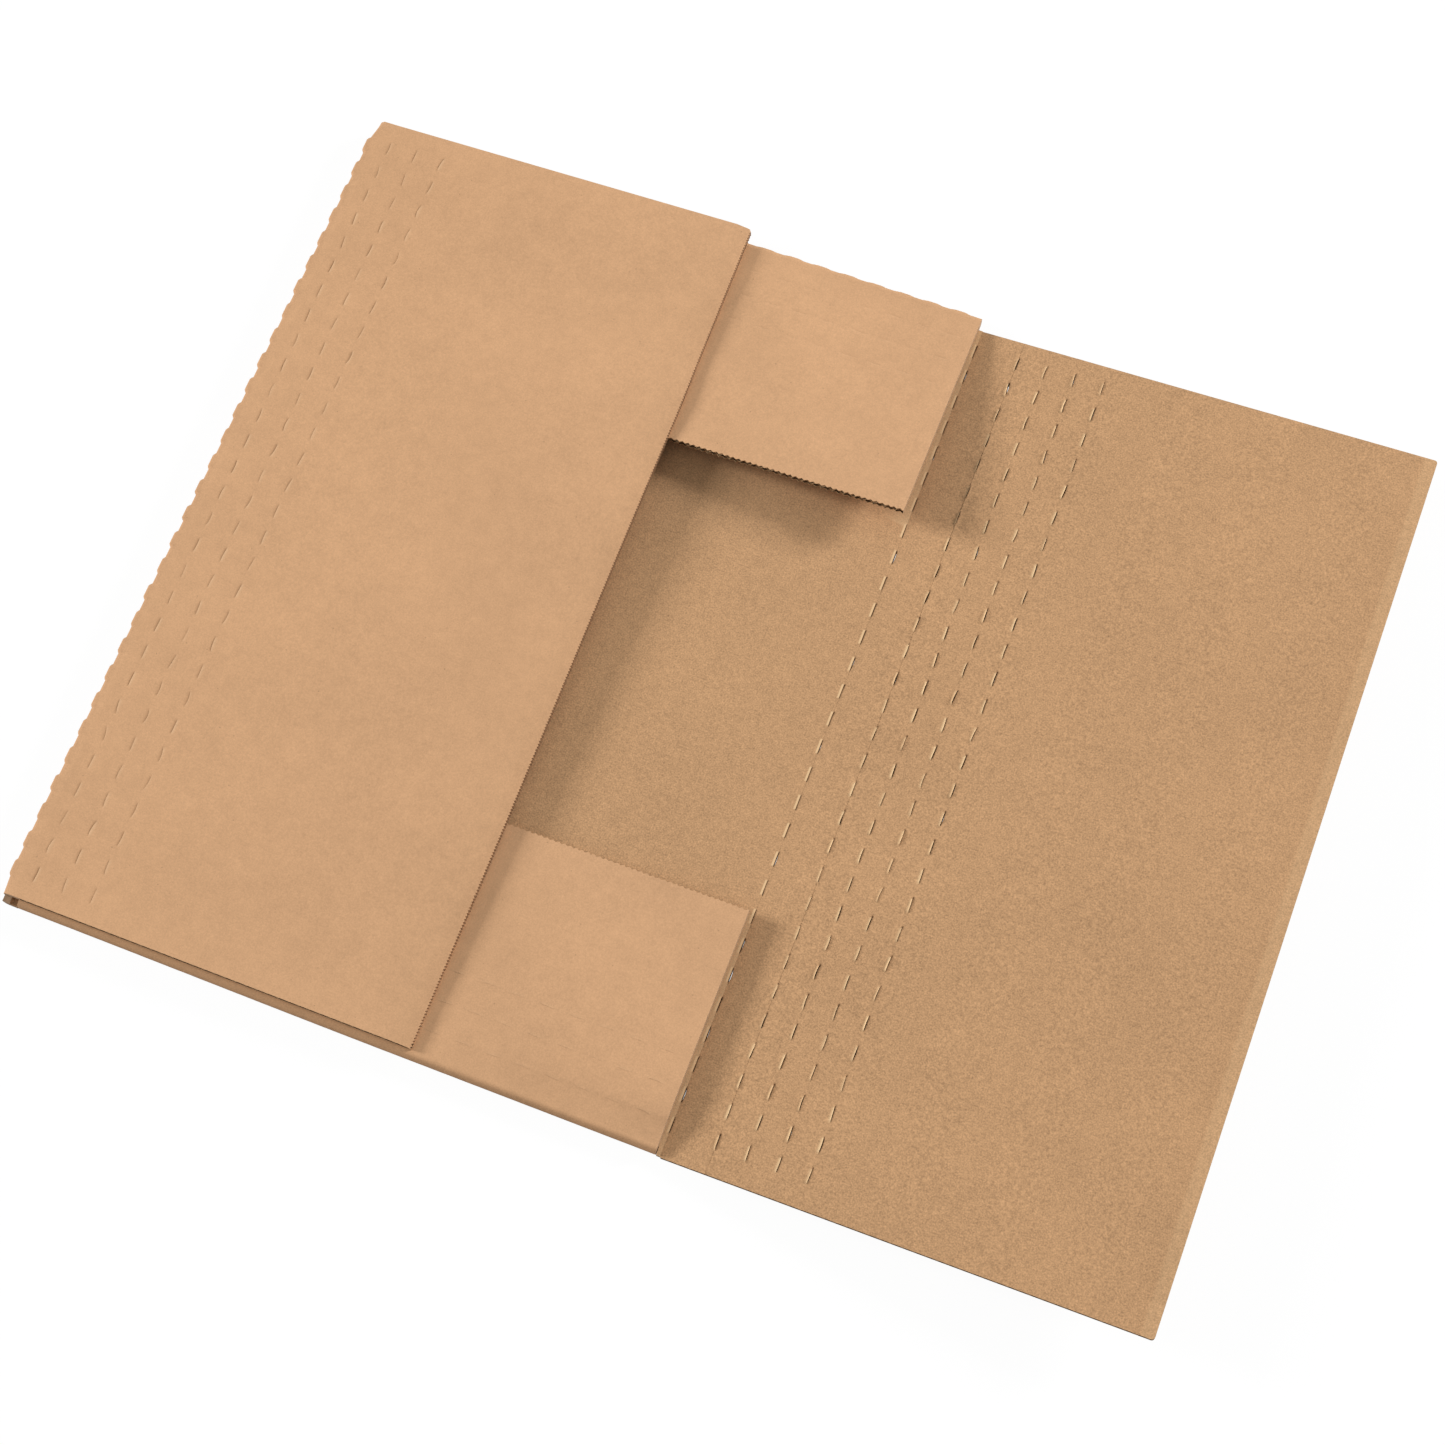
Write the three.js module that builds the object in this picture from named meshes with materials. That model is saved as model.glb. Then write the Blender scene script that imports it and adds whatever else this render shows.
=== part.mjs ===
// Wraparound mailer: one die-cut corrugated blank, lying part folded.
// Units are mm, +X runs across the panels, +Y along the folds, +Z up, z = 0 is the table.
import * as THREE from "three";
import { mergeVertices } from "three/addons/utils/BufferGeometryUtils.js";

// Board and perforation
const BOARD = 3.2;
const PITCH = 12.7;
const CUT_LENGTH = 6.35;
const CUT_WIDTH = 0.9;

// Clearances
const LAYER_GAP = 0.3;
const HINGE_GAP = 0.3;
const END_FLAP_SIDE_GAP = 2;
const END_FLAP_FOLD_GAP = 0.6;

// Centre panel, from the right crease to the left fold's outer face, and over both end folds
const PANEL_WIDTH = 282.9;
const PANEL_LENGTH = 383.5;

// Outer flaps
const FLAP_HEIGHT = 379.3;
const RIGHT_FLAP_WIDTH = 198.1;
const RIGHT_FLAP_INSET = 4.6;
const RIGHT_FLAP_RISE = 5.1;
const RIGHT_CUT_MARGIN = 10.6;
const LEFT_FLAP_REACH = 176.9;
const LEFT_FLAP_INSET = 0.7;
const LEFT_CUT_MARGIN = 12.4;

// Depth scores: the first one from the crease or fold, then equal steps
const DEPTH_STEP = 12.7;
const DEPTH_STEPS = 3;
const RIGHT_FIRST_SCORE = 19.05;
const LEFT_FIRST_SCORE = 9;
const END_FIRST_SCORE = 13;

// End flaps
const END_FLAP_REACH = 102;
const END_CUT_MARGIN = 9.9;

// How far the folded flaps have sprung up off the layer below
const END_LIFT_START = 30;
const END_LIFT = 12.5;
const END_LIFT_POWER = 1.34;
const LEFT_LIFT_BOTTOM = 0.7;

// Bend radii at the outer face
const END_BEND = BOARD + LAYER_GAP / 2;
const LEFT_BEND = (3 * BOARD + 2 * LAYER_GAP) / 2;

const half = BOARD / 2;
const rise = THREE.MathUtils.degToRad(RIGHT_FLAP_RISE);

// Places in the part's frame, whose origin is the middle of the whole outline
const flapSpan = RIGHT_FLAP_WIDTH * Math.cos(rise) + BOARD * Math.sin(rise);
const leftFoldX = -(PANEL_WIDTH + flapSpan) / 2;
const creaseX = leftFoldX + PANEL_WIDTH;
const leftBendX = leftFoldX + LEFT_BEND;
const topFoldY = Math.max(PANEL_LENGTH, RIGHT_FLAP_INSET + FLAP_HEIGHT) / 2;
const topBendY = topFoldY - END_BEND;
const bottomBendY = topFoldY - PANEL_LENGTH + END_BEND;
const rightFlapTopY = topFoldY - RIGHT_FLAP_INSET;
const leftFlapTopY = topFoldY - LEFT_FLAP_INSET;
const endFlapRightX = creaseX - END_FLAP_SIDE_GAP;
const endFlapLeftX = leftBendX + END_FLAP_FOLD_GAP;

// A flat cell layout of the blank: corner points are shared, so that its rim is found by counting edges
class Blank {
  constructor() {
    this.points = [];
    this.index = new Map();
    this.triangles = [];
  }
  point(u, v) {
    const key = `${Math.round(u * 1e4)},${Math.round(v * 1e4)}`;
    if (!this.index.has(key)) {
      this.index.set(key, this.points.length);
      this.points.push([u, v]);
    }
    return this.index.get(key);
  }
  grid(us, vs, isCut = () => false) {
    for (let i = 0; i + 1 < us.length; i++) {
      for (let j = 0; j + 1 < vs.length; j++) {
        if (isCut((us[i] + us[i + 1]) / 2, (vs[j] + vs[j + 1]) / 2)) continue;
        const a = this.point(us[i], vs[j]);
        const b = this.point(us[i + 1], vs[j]);
        const c = this.point(us[i + 1], vs[j + 1]);
        const d = this.point(us[i], vs[j + 1]);
        this.triangles.push([a, b, c], [a, c, d]);
      }
    }
  }
  outline(corners) {
    const contour = corners.map(([u, v]) => new THREE.Vector2(u, v));
    const ids = corners.map(([u, v]) => this.point(u, v));
    for (const face of THREE.ShapeUtils.triangulateShape(contour, [])) {
      this.triangles.push(face.map((k) => ids[k]));
    }
  }
  // Gives the blank its thickness: place(u, v, side) is the folded place of its upper (1) or lower (-1) face
  thicken(place) {
    const upper = this.points.map(([u, v]) => place(u, v, 1));
    const lower = this.points.map(([u, v]) => place(u, v, -1));
    const edges = new Set();
    const out = [];
    for (const [a, b, c] of this.triangles) {
      out.push(upper[a], upper[b], upper[c], lower[a], lower[c], lower[b]);
      for (const [p, q] of [[a, b], [b, c], [c, a]]) edges.add(`${p},${q}`);
    }
    for (const edge of edges) {
      const [p, q] = edge.split(",").map(Number);
      if (edges.has(`${q},${p}`)) continue;
      out.push(upper[q], upper[p], lower[p], upper[q], lower[p], lower[q]);
    }
    const positions = new Float32Array(out.flatMap((w) => [w.x, w.y, w.z]));
    const geometry = new THREE.BufferGeometry();
    geometry.setAttribute("position", new THREE.BufferAttribute(positions, 3));
    const solid = mergeVertices(geometry, 1e-4);
    solid.computeVertexNormals();
    return solid;
  }
}

// Rows of perforation cuts, counted from an edge into a length
function cutSpans(edge, margin, length) {
  const count = Math.floor((length - margin - CUT_LENGTH / 2) / PITCH) + 1;
  const centres = Array.from({ length: count }, (_, k) => edge - margin - PITCH * k);
  return centres.map((c) => [c - CUT_LENGTH / 2, c + CUT_LENGTH / 2]);
}
const inSpan = (spans, w) => spans.some(([a, b]) => w > a && w < b);
const within = (spans, low, high) => spans.filter(([a, b]) => a > low && b < high);
const tidy = (w) => Math.round(w * 1e4) / 1e4;
const ascending = (list) => [...new Set(list.map(tidy))].sort((a, b) => a - b);
const scoreLines = (first, start = 0) =>
  Array.from({ length: DEPTH_STEPS }, (_, k) => first + DEPTH_STEP * k - start);
const around = (scores) => scores.flatMap((s) => [s - CUT_WIDTH / 2, s + CUT_WIDTH / 2]);
const onScore = (scores, s) => scores.some((w) => Math.abs(s - w) < CUT_WIDTH / 2);

const rightCuts = cutSpans(rightFlapTopY, RIGHT_CUT_MARGIN, FLAP_HEIGHT);
const leftCuts = cutSpans(leftFlapTopY, LEFT_CUT_MARGIN, FLAP_HEIGHT);
const endCuts = cutSpans(endFlapRightX, END_CUT_MARGIN, endFlapRightX - endFlapLeftX);

// Bend of a fold: the angle runs from 0 at the lower layer to a half turn at the upper one
function bendPoint(angle, outer, side) {
  const r = outer - half - side * half;
  return { out: r * Math.sin(angle), up: outer - r * Math.cos(angle) };
}

// Angles that the bends are drawn through: an end fold is cut in its lower half, the left fold at its middle
const HALF_TURN = Math.PI;
const turns = (...degrees) => degrees.map(THREE.MathUtils.degToRad);
const END_ANGLES = turns(0, 35, 62, 82, 118, 150, 180);
const END_CUT = [END_ANGLES[2], END_ANGLES[3]];
const LEFT_LOWER_ANGLES = turns(0, 40, 75, 88.5);
const LEFT_UPPER_ANGLES = turns(91.5, 105, 140, 180);

// How far the top end flap has sprung up, at x and at a share of its reach
function endLift(x, share) {
  const start = leftFoldX + END_LIFT_START;
  const run = Math.max(0, x - start) / (endFlapRightX - start);
  return END_LIFT * share * Math.pow(run, END_LIFT_POWER);
}

// The left flap rests on the free edge of the top end flap
function leftLift(runShare, heightShare) {
  const restY = topFoldY - END_FLAP_REACH;
  const restShare = (restY - (leftFlapTopY - FLAP_HEIGHT)) / FLAP_HEIGHT;
  const restLift = endLift(leftFoldX + LEFT_FLAP_REACH, 1);
  const slope = (restLift - LEFT_LIFT_BOTTOM) / restShare;
  return (LEFT_LIFT_BOTTOM + slope * heightShare) * runShare;
}

// Centre panel with both end flaps folded in. Beyond a bend's start its layout coordinate is the angle,
// and beyond the bend's half turn it is the run along the flap
function makeBase() {
  const blank = new Blank();
  const reach = END_FLAP_REACH - END_BEND;
  const scores = scoreLines(END_FIRST_SCORE, END_BEND);
  const xs = ascending([endFlapLeftX, endFlapRightX, ...endCuts.flat()]);
  const runs = [0, ...around(scores), (scores.at(-1) + reach) / 2, reach];
  for (const [start, way] of [[topBendY, 1], [bottomBendY, -1]]) {
    const depth = (v) => way * (v - start);
    const bend = END_ANGLES.map((a) => start + way * a);
    const flap = runs.map((w) => start + way * (HALF_TURN + w));
    const bendCut = (u, v) => depth(v) > END_CUT[0] && depth(v) < END_CUT[1] && inSpan(endCuts, u);
    const flapCut = (u, v) => onScore(scores, depth(v) - HALF_TURN) && inSpan(endCuts, u);
    blank.grid(xs, ascending(bend), bendCut);
    blank.grid(xs, ascending(flap), flapCut);
  }
  const foldCuts = within(leftCuts, bottomBendY, topBendY);
  const foldYs = ascending([bottomBendY, ...foldCuts.flat(), topBendY]);
  const foldCut = (u, v) => u < leftBendX - LEFT_LOWER_ANGLES[2] && inSpan(foldCuts, v);
  blank.grid(ascending(LEFT_LOWER_ANGLES.map((a) => leftBendX - a)), foldYs, foldCut);
  // The panel itself is one outline, notched where the perforation of the right crease crosses its edge
  const edge = creaseX - HINGE_GAP / 2;
  const notch = edge - CUT_WIDTH / 2;
  const edgeCuts = within(rightCuts, bottomBendY, topBendY).reverse();
  const right = [[edge, bottomBendY]];
  for (const [a, b] of edgeCuts) right.push([edge, a], [notch, a], [notch, b], [edge, b]);
  right.push([edge, topBendY]);
  const top = [...xs].reverse().map((x) => [x, topBendY]);
  const left = [...foldYs].reverse().map((y) => [leftBendX, y]);
  const bottom = xs.map((x) => [x, bottomBendY]);
  blank.outline([...right, ...top, ...left, ...bottom]);

  return blank.thicken((u, v, side) => {
    if (u < tidy(leftBendX)) {
      const b = bendPoint(leftBendX - u, LEFT_BEND, side);
      return new THREE.Vector3(leftBendX - b.out, v, b.up);
    }
    const way = v > 0 ? 1 : -1;
    const start = way > 0 ? topBendY : bottomBendY;
    const depth = Math.max(0, way * (v - start));
    const run = Math.max(0, depth - HALF_TURN);
    const b = bendPoint(Math.min(depth, HALF_TURN), END_BEND, side);
    const lift = way > 0 ? endLift(u, run / reach) : 0;
    const y = depth > 0 ? start + way * (b.out - run) : v;
    return new THREE.Vector3(u, y, b.up + lift);
  });
}

// Left outer flap, from the upper half of its bend to the free edge
function makeLeftFlap() {
  const blank = new Blank();
  const reach = LEFT_FLAP_REACH - LEFT_BEND;
  const scores = scoreLines(LEFT_FIRST_SCORE, LEFT_BEND);
  const bottomY = leftFlapTopY - FLAP_HEIGHT;
  const ys = ascending([bottomY, leftFlapTopY, ...leftCuts.flat()]);
  const runs = [...around(scores), (scores.at(-1) + reach) / 2, reach];
  const us = ascending([...LEFT_UPPER_ANGLES, ...runs.map((w) => HALF_TURN + w)]);
  const onCutLine = (u) => u < LEFT_UPPER_ANGLES[1] || onScore(scores, u - HALF_TURN);
  blank.grid(us, ys, (u, v) => onCutLine(u) && inSpan(leftCuts, v));
  return blank.thicken((u, v, side) => {
    const b = bendPoint(Math.min(u, HALF_TURN), LEFT_BEND, -side);
    const run = Math.max(0, u - HALF_TURN);
    const lift = leftLift(run / reach, (v - bottomY) / FLAP_HEIGHT);
    return new THREE.Vector3(leftBendX - b.out + run, v, b.up + lift);
  });
}

// Part of the right outer flap between two distances from its crease, with half cuts at its hinged edges
function makeRightPart(from, to, scores, notches) {
  const blank = new Blank();
  const middle = (from + to) / 2;
  const ys = ascending([rightFlapTopY - FLAP_HEIGHT, rightFlapTopY, ...rightCuts.flat()]);
  const us = ascending([from, to, ...notches, ...around(scores)]);
  const isCut = (u, v) => {
    const onNotch = notches.some((n) => (n < middle ? u < n : u > n));
    return (onNotch || onScore(scores, u)) && inSpan(rightCuts, v);
  };
  blank.grid(us, ys, isCut);
  return blank.thicken((u, v, side) => {
    const below = side > 0 ? 0 : BOARD;
    const x = creaseX + u * Math.cos(rise) + below * Math.sin(rise);
    return new THREE.Vector3(x, v, BOARD + u * Math.sin(rise) - below * Math.cos(rise));
  });
}

const kraft = (color) => new THREE.MeshStandardMaterial({ color, roughness: 0.9, metalness: 0 });
const OUTER_LINER = "#d0a37a";
const INNER_LINER = "#c19870";

const notchDepth = (HINGE_GAP + CUT_WIDTH) / 2;
const wallFrom = HINGE_GAP / 2;
const wallTo = RIGHT_FIRST_SCORE - HINGE_GAP / 2;
const coverFrom = RIGHT_FIRST_SCORE + HINGE_GAP / 2;
const coverScores = scoreLines(RIGHT_FIRST_SCORE + DEPTH_STEP);
const wallNotches = [notchDepth, RIGHT_FIRST_SCORE - notchDepth];
const coverNotches = [RIGHT_FIRST_SCORE + notchDepth];
const pieces = [
  ["base", makeBase(), INNER_LINER],
  ["left_flap", makeLeftFlap(), OUTER_LINER],
  ["right_wall", makeRightPart(wallFrom, wallTo, [], wallNotches), INNER_LINER],
  ["right_cover", makeRightPart(coverFrom, RIGHT_FLAP_WIDTH, coverScores, coverNotches), INNER_LINER],
];

const mailer = new THREE.Group();
mailer.name = "wraparound_mailer";
for (const [name, geometry, color] of pieces) {
  const mesh = new THREE.Mesh(geometry, kraft(color));
  mesh.name = name;
  mailer.add(mesh);
}

export default mailer;
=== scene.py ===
"""Looks of the wraparound mailer: one corrugated kraft blank, part folded, dressed over its CAD parts.

Lengths are in millimetres until a mesh is made. Each board is laid out flat, then folded and given
its thickness. Both end flaps share their code: way is 1 for the top one and -1 for the bottom one.
"""

import math

import bpy
import numpy as np
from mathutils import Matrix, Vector
from mathutils.geometry import delaunay_2d_cdt


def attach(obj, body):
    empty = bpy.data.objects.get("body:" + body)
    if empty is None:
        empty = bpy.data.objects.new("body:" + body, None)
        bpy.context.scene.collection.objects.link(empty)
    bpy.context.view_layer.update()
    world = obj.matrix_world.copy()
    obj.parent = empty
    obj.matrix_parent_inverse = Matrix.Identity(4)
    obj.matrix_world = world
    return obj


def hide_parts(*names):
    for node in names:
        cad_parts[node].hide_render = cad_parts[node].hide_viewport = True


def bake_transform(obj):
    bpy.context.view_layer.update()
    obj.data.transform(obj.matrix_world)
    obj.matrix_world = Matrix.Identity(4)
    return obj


MM = 0.001

# Flat points nearer than this are on one line, and nearer than the second are on one edge once welded,
# which joins those in one of so many squares to a millimetre
NEAR = 1e-6
ON_EDGE = 1e-3
WELD_SQUARES = 500
FILL_NEAR = 1e-4

# Board and perforation
BOARD = 3.2
PITCH = 12.7
CUT_LENGTH = 6.35
SLIT_HALF = 0.22
ROW_STEP = PITCH / 20

# How far the right flap's rows of cuts stand up, by turns, and how much less a lip lifts the far face
ROW_CREASES = (0.12, 0.02)
FAR_FACE_LOSS = 0.4

# Gaps between layers, between boards at the crease, and the room beside the crease that has no lips
LAYER_GAP = 0.3
HINGE_GAP = 0.04
CREASE_ROOM = 1.4

# Panels and flaps, as in the CAD part
PANEL_WIDTH = 282.9
PANEL_LENGTH = 383.5
FLAP_HEIGHT = 379.3
RIGHT_FLAP_WIDTH = 198.1
RIGHT_FLAP_INSET = 4.6
RIGHT_FLAP_RISE = math.radians(5.1)
RIGHT_CUT_MARGIN = 10.6
RIGHT_SCORES = (19.05, 31.75, 44.45, 57.15)
LEFT_FLAP_REACH = 176.9
LEFT_FLAP_INSET = 0.7
LEFT_CUT_MARGIN = 12.4
LEFT_SCORES = (9.0, 21.7, 34.4)
END_FLAP_REACH = 102.0
END_FLAP_SIDE_GAP = 2.0
END_FLAP_FOLD_GAP = 0.6
END_SCORES = (13.0, 25.7, 38.4)
END_CUT_MARGIN = 9.9
END_BEND = BOARD + LAYER_GAP / 2
LEFT_BEND = (3 * BOARD + 2 * LAYER_GAP) / 2

# Lift of the top end flap towards its right end, and of the left flap at its bottom edge
END_LIFT_START = 30.0
END_LIFT = 12.5
END_LIFT_POWER = 1.34
LEFT_LIFT_BOTTOM = 0.4

# Rise of the bottom end flap towards its right end, reached within a share of its run
BOTTOM_RISE = 3.2
BOTTOM_RISE_X = -60.0
BOTTOM_RISE_POWER = 1.3
BOTTOM_RISE_RUN = 0.15

# How square a fold's section is (2 is a half circle), and how far the left one bulges past its crease
FOLD_SQUARENESS = 3.0
LEFT_FOLD_BULGE = 2.15

# Tabs of a fold: how far they stand out, how they start at a cut's end, and how they vary
LEFT_TAB_PUSH = 1.0
END_TAB_PUSH = {1: 0.5, -1: 0.0}
TAB_START = (-0.4, 0.3)
TAB_VARIATION = (0.75, 1.2)
TAB_SEED = 77
TURN_TAB_GROWTH = (0.5, 1.3)

# Angles in degrees at which a fold has points, and where its slits, tabs and painted shade start or end
LEFT_ANGLES = (90.3, 91, 92.5, 96, 102, 112, 123, 135, 147, 158, 168, 175, 178.5)
LEFT_SLIT_END = 91
LEFT_TAB_FADE = (135, 168)
LEFT_SHADE_FADE = (123, 168)
TURN_ANGLES = (0, 1.5, 6, 18, 32, 45, 58, 70, 80, 86, 88.9, 89.7)
TURN_SLIT_START = 88.9
END_SLIT = (68.2, 75.8)
END_ANGLES = (0, 3, 12, 26, 40, 52, *END_SLIT, 84, 96, 112, 128, 142, 156, 170, 177, 180)

# How far the left fold's bulge fades at its top and bottom ends
TOP_TAPER = 1.5
TOP_TAPER_RUN = LEFT_CUT_MARGIN - 2
BOTTOM_TAPER = 1.1
BOTTOM_TAPER_Y = (-176, -191)

# How far the end folds stray from their lines along their width, and how far that reaches over the panel
TOP_STRAY = -1.5
TOP_STRAY_GAIN = 1.7
BOTTOM_STRAY = 0.7
STRAY_TURN = 0.6
STRAY_REACH = 60

# The left flap over the top end flap: the share of its gap that it sinks by, the share of that flap's
# reach in which it does so, and its drift in x and y for each mm
SETTLE = 0.9
SETTLE_RUN = 0.35
SETTLE_DRIFT = (-0.42, 0.62)

# The left flap's free edge is drawn in and crushed, and its top edge is trimmed towards the fold
DRAW_IN = 0.8
DRAW_IN_Y = (-120, 60)
TOP_TRIM = 1.6
TOP_TRIM_START_Y = 100
EDGE_CRUSH = 1.8
EDGE_CRUSH_WIDTH = 3

# Cut edges: liner, open flutes, the medium between the liners and how far it ends short of each end,
# teeth, rounded corners, and the angle in degrees past which an edge is sharp
LINER = 0.4
FLUTE_DEPTH = 2.4
FLUTE_PITCH = 4.6
WAVE_STEPS = 8
MEDIUM = 0.26
MEDIUM_INSET = 0.12
RIGHT_MEDIUM_ENDS = (0.3, 1.0)
FLAP_MEDIUM_ENDS = (1.0, 0.5)
SAW = 0.34
CORNER_RADIUS = 1.3
SHARP_ANGLE = 50

# Tints of the paper, towards the lip colour, or towards the shade colour where negative: a paler band along
# the far edge, painted shade on the folds and in the end folds' slits, paler cut fibre with painted light on
# the strip's tabs and painted shade at their ends, and painted light on the strip beside the end flaps
EDGE_BAND = 5.4
EDGE_BAND_SOFTNESS = 0.8
EDGE_BAND_TINT = 0.14
FOLD_SHADE = 0.24
END_FOLD_SHADE = {1: 0.12, -1: 1.6 * FOLD_SHADE}
END_SLIT_PAINTED_SHADE = {1: -0.2, -1: -1.0}
STRIP_TAB_FIBRE_LIGHT_AND_SHADE = 0.8
STRIP_PAINTED_LIGHT = 0.3

# Spacing of the points away from cuts: steps, room beside a row of cuts, and room at a free edge
RIGHT_STEP = 9.0
RIGHT_ROOM = 4
RIGHT_END_ROOM = 2
FLAP_STEP = 10.0
FLAP_ROOM = 6
FLAP_END_ROOM = 3
FLAP_LAST_STEP = 1.2
PANEL_STEP = 8.0
PANEL_ROOM = 4
LEAST_STEP = 0.3

# Derived places
FLAP_SPAN = RIGHT_FLAP_WIDTH * math.cos(RIGHT_FLAP_RISE) + BOARD * math.sin(RIGHT_FLAP_RISE)
LEFT_FOLD_X = -(PANEL_WIDTH + FLAP_SPAN) / 2
CREASE_X = LEFT_FOLD_X + PANEL_WIDTH
LEFT_BEND_X = LEFT_FOLD_X + LEFT_BEND
TOP_FOLD_Y = (RIGHT_FLAP_INSET + FLAP_HEIGHT) / 2
TOP_BEND_Y = TOP_FOLD_Y - END_BEND
BOTTOM_BEND_Y = TOP_FOLD_Y - PANEL_LENGTH + END_BEND
BEND_Y = {1: TOP_BEND_Y, -1: BOTTOM_BEND_Y}
RIGHT_TOP_Y = TOP_FOLD_Y - RIGHT_FLAP_INSET
RIGHT_BOTTOM_Y = RIGHT_TOP_Y - FLAP_HEIGHT
LEFT_TOP_Y = TOP_FOLD_Y - LEFT_FLAP_INSET
LEFT_BOTTOM_Y = LEFT_TOP_Y - FLAP_HEIGHT
END_RIGHT_X = CREASE_X - END_FLAP_SIDE_GAP
END_LEFT_X = LEFT_BEND_X + END_FLAP_FOLD_GAP
LEFT_RUN = LEFT_FLAP_REACH - LEFT_BEND
END_RUN = END_FLAP_REACH - END_BEND
END_ROWS = [score - END_BEND for score in END_SCORES]
END_OFFSETS = (-1.5, -0.7, -SLIT_HALF, SLIT_HALF, 0.7, 1.5)

# The left turn's rows past the end folds
TURN_PAST_BOTTOM = (2.4, 1.2)
TURN_PAST_TOP = 1.8

# The strip beside the crease: its side gap, how far it ends above the flap's lower edge, and how far its
# columns are from the crease, of which the last two bound its notches
STRIP_GAP = 0.3
STRIP_END_GAP = 0.4
STRIP_ENDS = (RIGHT_BOTTOM_Y + STRIP_END_GAP, RIGHT_TOP_Y)
STRIP_COLUMNS = (1.25, 0.85, 0.3, 0.1, 0.0)

# Columns beside the right flap's far edge: the edge band's border and the rounded corners
BAND_COLUMNS = (EDGE_BAND + EDGE_BAND_SOFTNESS, EDGE_BAND, EDGE_BAND - EDGE_BAND_SOFTNESS)
CORNER_COLUMNS = (CORNER_RADIUS, 0.66 * CORNER_RADIUS, 0.33 * CORNER_RADIUS)

# Material slots of a board
SHOWN, HIDDEN, RECESS, CUT_PAPER, SIDE = range(5)


def ramp(x, low, high):
    """0 at low, 1 at high, smooth between and level beyond."""
    t = np.clip((x - low) / (high - low), 0, 1)
    return t * t * (3 - 2 * t)


# Flat layout and thickness

class Layout:
    """Flat points and faces of one board. Faces run anticlockwise seen from the board's shown face."""

    def __init__(self):
        self.points, self.faces, self.count = [], [], 0

    def add(self, points, faces):
        self.faces += [tuple(i + self.count for i in f) for f in faces]
        self.points.append(np.asarray(points, float))
        self.count += len(points)

    def grid(self, us, vs, cut):
        """A grid of faces, without those whose middle is in a cut."""
        us, vs = np.asarray(us, float), np.asarray(vs, float)
        uu, vv = np.meshgrid(us, vs, indexing="ij")
        n = len(vs)
        i, j = np.meshgrid(np.arange(len(us) - 1), np.arange(n - 1), indexing="ij")
        keep = ~cut((us[i] + us[i + 1]) / 2, (vs[j] + vs[j + 1]) / 2)
        a = (i * n + j)[keep]
        faces = np.stack([a, a + n, a + n + 1, a + 1], 1).tolist()
        self.add(np.stack([uu.ravel(), vv.ravel()], 1), faces)

    def fill(self, outline, inner):
        """Faces inside a closed outline, with loose points inside it."""
        n = len(outline)
        edges = [(i, (i + 1) % n) for i in range(n)]
        points = [Vector(p) for p in outline] + [Vector(p) for p in inner]
        made = delaunay_2d_cdt(points, edges, [], 1, FILL_NEAR)
        self.add([tuple(p) for p in made[0]], [tuple(f) for f in made[2]])

    def weld(self):
        """Joins the points that lie in the same small square."""
        flat = np.concatenate(self.points)
        keys = np.round(flat * WELD_SQUARES).astype(np.int64)
        _, first, back = np.unique(keys, axis=0, return_index=True, return_inverse=True)
        back = back.ravel()
        self.flat = flat[first]
        self.faces = [tuple(back[i] for i in f) for f in self.faces]
        return self.flat[:, 0], self.flat[:, 1]

    def rim(self):
        """Directed edges that have a face on one side only."""
        n = len(self.flat)
        edges = np.array([(f[k], f[(k + 1) % len(f)]) for f in self.faces for k in range(len(f))])
        forward = edges[:, 0] * n + edges[:, 1]
        back = edges[:, 1] * n + edges[:, 0]
        return edges[~np.isin(forward, back)]


def rim_walls(layout, fluted):
    """Walls of the rim and their slots: open flutes where fluted says so, plain elsewhere."""
    n = len(layout.flat)
    chain = (0, 2, 3, 4, 5, 1)
    chain_slots = (CUT_PAPER, RECESS, RECESS, RECESS, CUT_PAPER)
    walls, slots = [], []
    for p, q in layout.rim().tolist():
        if fluted(layout.flat[p]) and fluted(layout.flat[q]):
            for a, b in zip(chain, chain[1:]):
                walls.append((q + a * n, p + a * n, p + b * n, q + b * n))
            slots += chain_slots
        else:
            walls.append((q, p, p + n, q + n))
            slots.append(SIDE)
    return walls, slots


def ribbon(skin_at, start, end, edge, inward_way):
    """Wavy medium between the liners along a cut edge, as points and faces."""
    along = np.arange(start, end, FLUTE_PITCH / WAVE_STEPS)
    wave = (1 - np.cos(along * 2 * math.pi / FLUTE_PITCH)) / 2
    low = (LINER + MEDIUM / 2) / BOARD
    share = low + (1 - 2 * low) * wave
    half = MEDIUM / 2 / BOARD
    section = ((MEDIUM_INSET, -half), (MEDIUM_INSET, half), (FLUTE_DEPTH, half), (FLUTE_DEPTH, -half))
    rows = []
    for inset, side in section:
        rows.append(skin_at(along, np.full(len(along), edge + inward_way * inset), share + side))
    n = len(along)
    faces = []
    for a, b in ((0, 1), (1, 2), (2, 3), (3, 0)):
        faces += [(a * n + i, b * n + i, b * n + i + 1, a * n + i + 1) for i in range(n - 1)]
    faces += [(0, 3 * n, 2 * n, n), (n - 1, 2 * n - 1, 3 * n - 1, 4 * n - 1)]
    return np.concatenate(rows), faces


def used_only(points, marks, faces):
    """Points, marks and faces without the points that no face has."""
    used = np.zeros(len(points), bool)
    used[[i for f in faces for i in f]] = True
    place = np.cumsum(used) - 1
    return points[used], marks[used], [tuple(int(place[i]) for i in f) for f in faces]


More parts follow.
